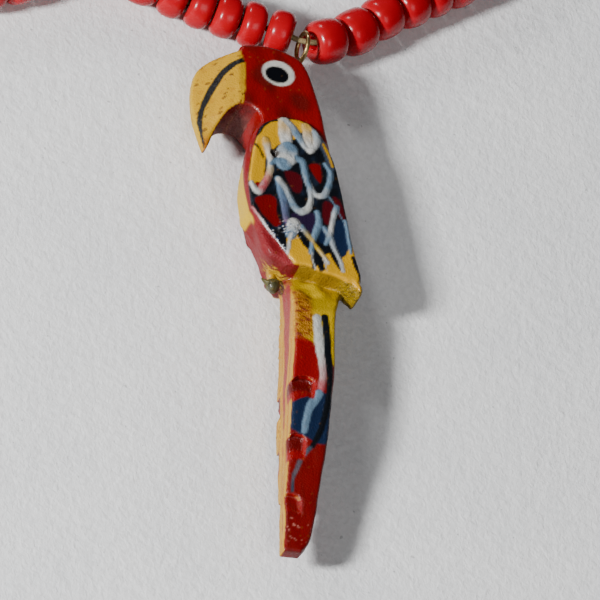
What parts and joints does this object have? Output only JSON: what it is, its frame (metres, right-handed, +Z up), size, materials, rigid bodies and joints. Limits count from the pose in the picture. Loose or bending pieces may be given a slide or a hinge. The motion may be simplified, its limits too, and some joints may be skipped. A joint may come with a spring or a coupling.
{
  "type": "beaded pendant necklace",
  "caption": "Hand-carved, painted wooden macaw pendant hanging by a brass screw eye from a strand of red wooden beads on a cord with a barrel clasp.",
  "frame": {"origin": "on the table, under the middle of the carving's right wing, which is the flat face the bird lies on", "axes": "+Z up from the table, +Y along the bird towards its head, +X towards its back"},
  "size_m": [0.1453, 0.2425, 0.011],
  "materials": {
    "painted_wood": "hand-brushed gloss paint in red, yellow, blue, black and white over carved wood",
    "olive_paint": "dull olive paint",
    "aged_brass": "aged, satin",
    "tan_cord": "twisted waxed cotton",
    "red_lacquer": "glossy lacquer over turned wood"
  },
  "bodies": {
    "strand": {"strand_cord": "tan_cord", "clasp_socket": "aged_brass", "bead_run_left_1": "red_lacquer", "bead_run_left_2": "red_lacquer", "bead_run_left_3": "red_lacquer", "bead_run_right_1": "red_lacquer", "bead_run_right_2": "red_lacquer"},
    "pendant": {"carved_macaw": "painted_wood", "foot_peg": "olive_paint", "screw_eye": "aged_brass"},
    "clasp_plug": {"clasp_plug": "aged_brass"},
    "bead_left_01": {"bead_left_01": "red_lacquer"},
    "bead_left_02": {"bead_left_02": "red_lacquer"},
    "bead_left_03": {"bead_left_03": "red_lacquer"},
    "bead_left_04": {"bead_left_04": "red_lacquer"},
    "bead_left_05": {"bead_left_05": "red_lacquer"},
    "bead_left_06": {"bead_left_06": "red_lacquer"},
    "bead_left_07": {"bead_left_07": "red_lacquer"},
    "bead_left_08": {"bead_left_08": "red_lacquer"},
    "bead_left_09": {"bead_left_09": "red_lacquer"},
    "bead_left_10": {"bead_left_10": "red_lacquer"},
    "bead_left_11": {"bead_left_11": "red_lacquer"},
    "bead_left_12": {"bead_left_12": "red_lacquer"},
    "bead_right_01": {"bead_right_01": "red_lacquer"},
    "bead_right_02": {"bead_right_02": "red_lacquer"},
    "bead_right_03": {"bead_right_03": "red_lacquer"},
    "bead_right_04": {"bead_right_04": "red_lacquer"},
    "bead_right_05": {"bead_right_05": "red_lacquer"},
    "bead_right_06": {"bead_right_06": "red_lacquer"},
    "bead_right_07": {"bead_right_07": "red_lacquer"},
    "bead_right_08": {"bead_right_08": "red_lacquer"},
    "bead_right_09": {"bead_right_09": "red_lacquer"},
    "bead_right_10": {"bead_right_10": "red_lacquer"},
    "bead_right_11": {"bead_right_11": "red_lacquer"},
    "bead_right_12": {"bead_right_12": "red_lacquer"}
  },
  "joints": [
    {"name": "pendant_swing", "type": "hinge", "parent": "strand", "child": "pendant", "pos_m": [0.0038, 0.037, 0.0053], "axis": [1, 0, 0], "range_deg": [-90, 90]},
    {"name": "clasp_screw", "type": "hinge", "parent": "strand", "child": "clasp_plug", "pos_m": [-0.00055, 0.172, 0.004], "axis": [-1, 0, 0], "continuous": true},
    {"name": "bead_left_01_spin", "type": "hinge", "parent": "strand", "child": "bead_left_01", "pos_m": [0.00017, 0.03831, 0.0046], "axis": [0.9491, -0.2689, 0.164], "continuous": true},
    {"name": "bead_left_02_spin", "type": "hinge", "parent": "strand", "child": "bead_left_02", "pos_m": [-0.00458, 0.03909, 0.00406], "axis": [0.9886, -0.1402, 0.0546], "continuous": true},
    {"name": "bead_left_03_spin", "type": "hinge", "parent": "strand", "child": "bead_left_03", "pos_m": [-0.00915, 0.03981, 0.00399], "axis": [0.9829, -0.1842, 0.003], "continuous": true},
    {"name": "bead_left_04_spin", "type": "hinge", "parent": "strand", "child": "bead_left_04", "pos_m": [-0.01362, 0.04069, 0.004], "axis": [0.9794, -0.2021, -0.0018], "continuous": true},
    {"name": "bead_left_05_spin", "type": "hinge", "parent": "strand", "child": "bead_left_05", "pos_m": [-0.01821, 0.04177, 0.004], "axis": [0.9636, -0.2673, 0], "continuous": true},
    {"name": "bead_left_06_spin", "type": "hinge", "parent": "strand", "child": "bead_left_06", "pos_m": [-0.02354, 0.04312, 0.004], "axis": [0.9848, -0.1738, 0], "continuous": true},
    {"name": "bead_left_07_spin", "type": "hinge", "parent": "strand", "child": "bead_left_07", "pos_m": [-0.02937, 0.04375, 0.004], "axis": [0.9999, -0.0134, 0], "continuous": true},
    {"name": "bead_left_08_spin", "type": "hinge", "parent": "strand", "child": "bead_left_08", "pos_m": [-0.03546, 0.04278, 0.004], "axis": [0.9522, 0.3055, 0], "continuous": true},
    {"name": "bead_left_09_spin", "type": "hinge", "parent": "strand", "child": "bead_left_09", "pos_m": [-0.04066, 0.0407, 0.004], "axis": [0.901, 0.4339, 0], "continuous": true},
    {"name": "bead_left_10_spin", "type": "hinge", "parent": "strand", "child": "bead_left_10", "pos_m": [-0.04557, 0.03791, 0.004], "axis": [0.865, 0.5017, 0], "continuous": true},
    {"name": "bead_left_11_spin", "type": "hinge", "parent": "strand", "child": "bead_left_11", "pos_m": [-0.05084, 0.03525, 0.004], "axis": [0.9093, 0.4161, 0], "continuous": true},
    {"name": "bead_left_12_spin", "type": "hinge", "parent": "strand", "child": "bead_left_12", "pos_m": [-0.05605, 0.03339, 0.004], "axis": [0.9757, 0.2189, 0], "continuous": true},
    {"name": "bead_right_01_spin", "type": "hinge", "parent": "strand", "child": "bead_right_01", "pos_m": [0.00819, 0.03847, 0.0046], "axis": [0.8655, 0.4856, -0.1228], "continuous": true},
    {"name": "bead_right_02_spin", "type": "hinge", "parent": "strand", "child": "bead_right_02", "pos_m": [0.01373, 0.04221, 0.00397], "axis": [0.7851, 0.6185, -0.0343], "continuous": true},
    {"name": "bead_right_03_spin", "type": "hinge", "parent": "strand", "child": "bead_right_03", "pos_m": [0.01847, 0.0463, 0.004], "axis": [0.7683, 0.6401, 0.0012], "continuous": true},
    {"name": "bead_right_04_spin", "type": "hinge", "parent": "strand", "child": "bead_right_04", "pos_m": [0.02318, 0.05003, 0.004], "axis": [0.8047, 0.5936, 0], "continuous": true},
    {"name": "bead_right_05_spin", "type": "hinge", "parent": "strand", "child": "bead_right_05", "pos_m": [0.02746, 0.0531, 0.004], "axis": [0.8095, 0.5871, 0], "continuous": true},
    {"name": "bead_right_06_spin", "type": "hinge", "parent": "strand", "child": "bead_right_06", "pos_m": [0.03169, 0.05629, 0.004], "axis": [0.7974, 0.6035, 0], "continuous": true},
    {"name": "bead_right_07_spin", "type": "hinge", "parent": "strand", "child": "bead_right_07", "pos_m": [0.0361, 0.05976, 0.004], "axis": [0.7593, 0.6508, 0], "continuous": true},
    {"name": "bead_right_08_spin", "type": "hinge", "parent": "strand", "child": "bead_right_08", "pos_m": [0.04013, 0.06373, 0.004], "axis": [0.675, 0.7378, 0], "continuous": true},
    {"name": "bead_right_09_spin", "type": "hinge", "parent": "strand", "child": "bead_right_09", "pos_m": [0.04366, 0.06796, 0.004], "axis": [0.5973, 0.802, 0], "continuous": true},
    {"name": "bead_right_10_spin", "type": "hinge", "parent": "strand", "child": "bead_right_10", "pos_m": [0.04678, 0.07293, 0.004], "axis": [0.4594, 0.8882, 0], "continuous": true},
    {"name": "bead_right_11_spin", "type": "hinge", "parent": "strand", "child": "bead_right_11", "pos_m": [0.04914, 0.07846, 0.004], "axis": [0.3298, 0.9441, 0], "continuous": true},
    {"name": "bead_right_12_spin", "type": "hinge", "parent": "strand", "child": "bead_right_12", "pos_m": [0.05062, 0.0835, 0.004], "axis": [0.2365, 0.9716, 0], "continuous": true}
  ]
}
